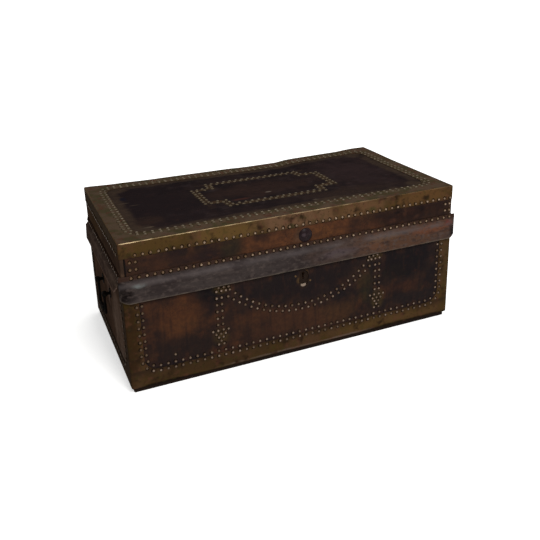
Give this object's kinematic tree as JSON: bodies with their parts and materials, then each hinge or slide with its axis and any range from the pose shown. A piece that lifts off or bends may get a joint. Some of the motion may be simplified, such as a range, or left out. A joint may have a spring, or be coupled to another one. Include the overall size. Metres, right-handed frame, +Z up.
{
  "type": "dowry chest",
  "caption": "Low travelling chest covered in nailed leather with brass sheet edges, a hinged lid with a leather skirt over the joint, iron bail handles and a box lock.",
  "frame": {"origin": "middle of the underside of the bottom board, on the floor", "axes": "+X to the chest's right as seen from the front, +Y to the back where the hinges are, +Z up"},
  "size_m": [0.9416, 0.4777, 0.3886],
  "materials": {
    "camphorwood": "old oiled camphorwood, dry and dark",
    "covering_leather": "dark brown to blue-black hide, worn and stained, satin",
    "skirt_leather": "grey-brown rubbed hide, satin",
    "brass_sheet": "thin sheet, tarnished olive to golden brown",
    "brass_nails": "domed, tarnished round the foot, rubbed bright on top",
    "bright_brass": "broken remains, rubbed bright",
    "blackened_brass": "blackened, dull",
    "hinge_brass": "tarnished, satin",
    "lock_iron": "dark sheet iron, slightly rusty",
    "handle_iron": "forged iron, dark and rubbed"
  },
  "bodies": {
    "chest": {"back_board": "camphorwood", "bottom_band_back": "brass_sheet", "bottom_band_front": "brass_sheet", "bottom_band_left": "brass_sheet", "bottom_band_right": "brass_sheet", "bottom_board": "camphorwood", "corner_band_back_left": "brass_sheet", "corner_band_back_right": "brass_sheet", "corner_band_front_left": "brass_sheet", "corner_band_front_right": "brass_sheet", "escutcheon_pins": "bright_brass", "escutcheon_stub": "bright_brass", "front_board": "camphorwood", "hinge_screws_body": "hinge_brass", "leather_back": "covering_leather", "leather_front": "covering_leather", "leather_left": "covering_leather", "leather_right": "covering_leather", "left_board": "camphorwood", "left_handle_posts": "handle_iron", "lock_case": "lock_iron", "lock_cover": "lock_iron", "lock_screws": "lock_iron", "lower_hinge_leaf_left": "hinge_brass", "lower_hinge_leaf_right": "hinge_brass", "nails_drape": "brass_nails", "nails_front_border": "brass_nails", "nails_plain_borders": "brass_nails", "right_board": "camphorwood", "right_handle_posts": "handle_iron"},
    "lid": {"boss": "blackened_brass", "boss_pin": "blackened_brass", "flap_front": "skirt_leather", "flap_left": "skirt_leather", "flap_right": "skirt_leather", "hinge_pins": "hinge_brass", "hinge_screws_lid": "hinge_brass", "lid_back_rail": "camphorwood", "lid_band_back": "brass_sheet", "lid_band_front": "brass_sheet", "lid_band_left": "brass_sheet", "lid_band_right": "brass_sheet", "lid_front_rail": "camphorwood", "lid_leather_back": "covering_leather", "lid_leather_front": "covering_leather", "lid_leather_left": "covering_leather", "lid_leather_right": "covering_leather", "lid_leather_top": "covering_leather", "lid_left_rail": "camphorwood", "lid_right_rail": "camphorwood", "lid_top_board": "camphorwood", "lock_link": "lock_iron", "nails_lid_border": "brass_nails", "nails_lid_cartouche": "brass_nails", "nails_lid_sides": "brass_nails", "upper_hinge_leaf_left": "hinge_brass", "upper_hinge_leaf_right": "hinge_brass"},
    "left_bail": {"left_bail": "handle_iron"},
    "right_bail": {"right_bail": "handle_iron"},
    "lock_bolt": {"lock_bolt": "lock_iron"}
  },
  "joints": [
    {"name": "lid_hinge", "type": "hinge", "parent": "chest", "child": "lid", "pos_m": [0, 0.2336, 0.278], "axis": [-1, 0, 0], "range_deg": [0, 105]},
    {"name": "left_bail_hinge", "type": "hinge", "parent": "chest", "child": "left_bail", "pos_m": [-0.4638, 0, 0.187], "axis": [0, 1, 0], "range_deg": [-8, 110]},
    {"name": "right_bail_hinge", "type": "hinge", "parent": "chest", "child": "right_bail", "pos_m": [0.4638, 0, 0.187], "axis": [0, -1, 0], "range_deg": [-8, 110]},
    {"name": "bolt_slide", "type": "slide", "parent": "chest", "child": "lock_bolt", "axis": [1, 0, 0], "range_m": [0, 0.018]}
  ]
}
